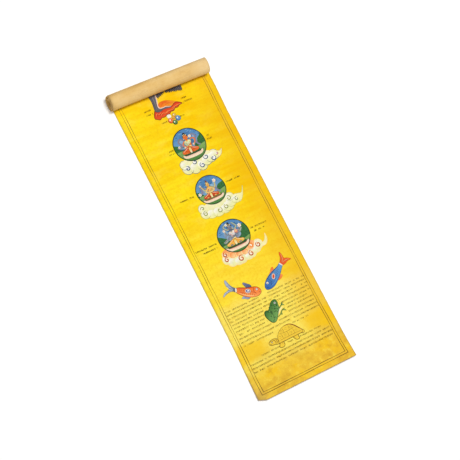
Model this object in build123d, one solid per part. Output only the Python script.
from build123d import *
import os
from math import cos, pi, sin

# A hand-made paper scroll lying open on its plain back. One long strip of
# stout paper lies flat, its free end lifting a little, and the rest of its
# length is wound up at the other end with the painted side inwards.
# X runs across the strip, Y along it towards the roll, Z up. The origin is
# the middle of the footprint, on the surface that the scroll lies on.

# Driving dimensions, mm
sheet_width = 200.0         # across the strip
laid_length = 596.0         # free edge to the axis of the roll, measured along the table
paper_thickness = 0.4       # stout bast-fibre paper with its ground and paint
roll_radius = 15.5          # outside of the roll
turn_gap = 0.5              # air between one turn and the next
core_radius = 6.0           # the open eye that the winding leaves
curl_length = 70.0          # paper that lifts at the free edge
curl_radius = 520.0         # radius of that gentle lift
corner_clip_across = 14.0   # worn-off corner at the free edge, left side: its cut across the strip
corner_clip_along = 6.0     # and along it

# Places that follow from them
half_paper = paper_thickness / 2
turn_pitch = paper_thickness + turn_gap
curl_angle = curl_length / curl_radius
curl_reach = curl_radius * sin(curl_angle)
outer_turn_radius = roll_radius - half_paper            # middle of the paper in the outermost turn
half_turns = int((outer_turn_radius - core_radius) / (turn_pitch / 2))
free_edge_y = -(laid_length + roll_radius) / 2
roll_axis_y = free_edge_y + laid_length
flat_start_y = free_edge_y + curl_reach


def half_turn_circles():
    """Middle-line radius and axis height of each half turn, from the outside in.

    Each half turn is a semicircle that starts straight under or over the one
    before it. Its radius is half a pitch smaller, so the winding closes in by
    one pitch for each whole turn and never touches itself.
    """
    circles = []
    start_z = half_paper
    rises = 1
    for k in range(half_turns):
        radius = outer_turn_radius - k * turn_pitch / 2
        circles.append((radius, start_z + rises * radius, rises))
        start_z += rises * 2 * radius
        rises = -rises
    return circles


def side_of_paper(offset):
    """Edges of one face of the strip in section, from the free edge to the inner end.

    offset is measured from the middle line, positive towards the painted side.
    """
    lift_radius = curl_radius - offset
    lift_axis_z = half_paper + curl_radius
    lift = [
        (flat_start_y - lift_radius * sin(angle), lift_axis_z - lift_radius * cos(angle))
        for angle in (curl_angle, curl_angle / 2, 0.0)
    ]
    edges = [
        ThreePointArc(*lift),
        Line((flat_start_y, half_paper + offset), (roll_axis_y, half_paper + offset)),
    ]
    for radius, axis_z, rises in half_turn_circles():
        face_radius = radius - offset
        edges.append(
            ThreePointArc(
                (roll_axis_y, axis_z - rises * face_radius),
                (roll_axis_y + rises * face_radius, axis_z),
                (roll_axis_y, axis_z + rises * face_radius),
            )
        )
    return edges


def paper_section():
    """The closed section of the whole strip: lift, flat run and winding."""
    painted = side_of_paper(half_paper)
    plain = side_of_paper(-half_paper)
    free_edge = Line(painted[0] @ 0, plain[0] @ 0)
    inner_edge = Line(painted[-1] @ 1, plain[-1] @ 1)
    return make_face(painted + plain + [free_edge, inner_edge])


def clipped_corner():
    """Upright three-sided prism that takes the worn corner off at the free edge."""
    left_x = -sheet_width / 2
    outline = Polyline(
        (left_x - corner_clip_across, free_edge_y - corner_clip_along),
        (left_x + 2 * corner_clip_across, free_edge_y - corner_clip_along),
        (left_x - corner_clip_across, free_edge_y + 2 * corner_clip_along),
        close=True,
    )
    return extrude(make_face(outline), amount=roll_radius)


paper_scroll = extrude(Plane.YZ * paper_section(), amount=sheet_width / 2, both=True) - clipped_corner()

rolled_length = pi * sum(radius for radius, _, _ in half_turn_circles())
print("half turns", half_turns, "rolled length", round(rolled_length, 1))
print("paper length", round(curl_length + laid_length - curl_reach + rolled_length, 1))
print("free edge lifts", round(curl_radius * (1 - cos(curl_angle)), 2))

os.makedirs("parts", exist_ok=True)
export_step(paper_scroll, "parts/paper_scroll.step")
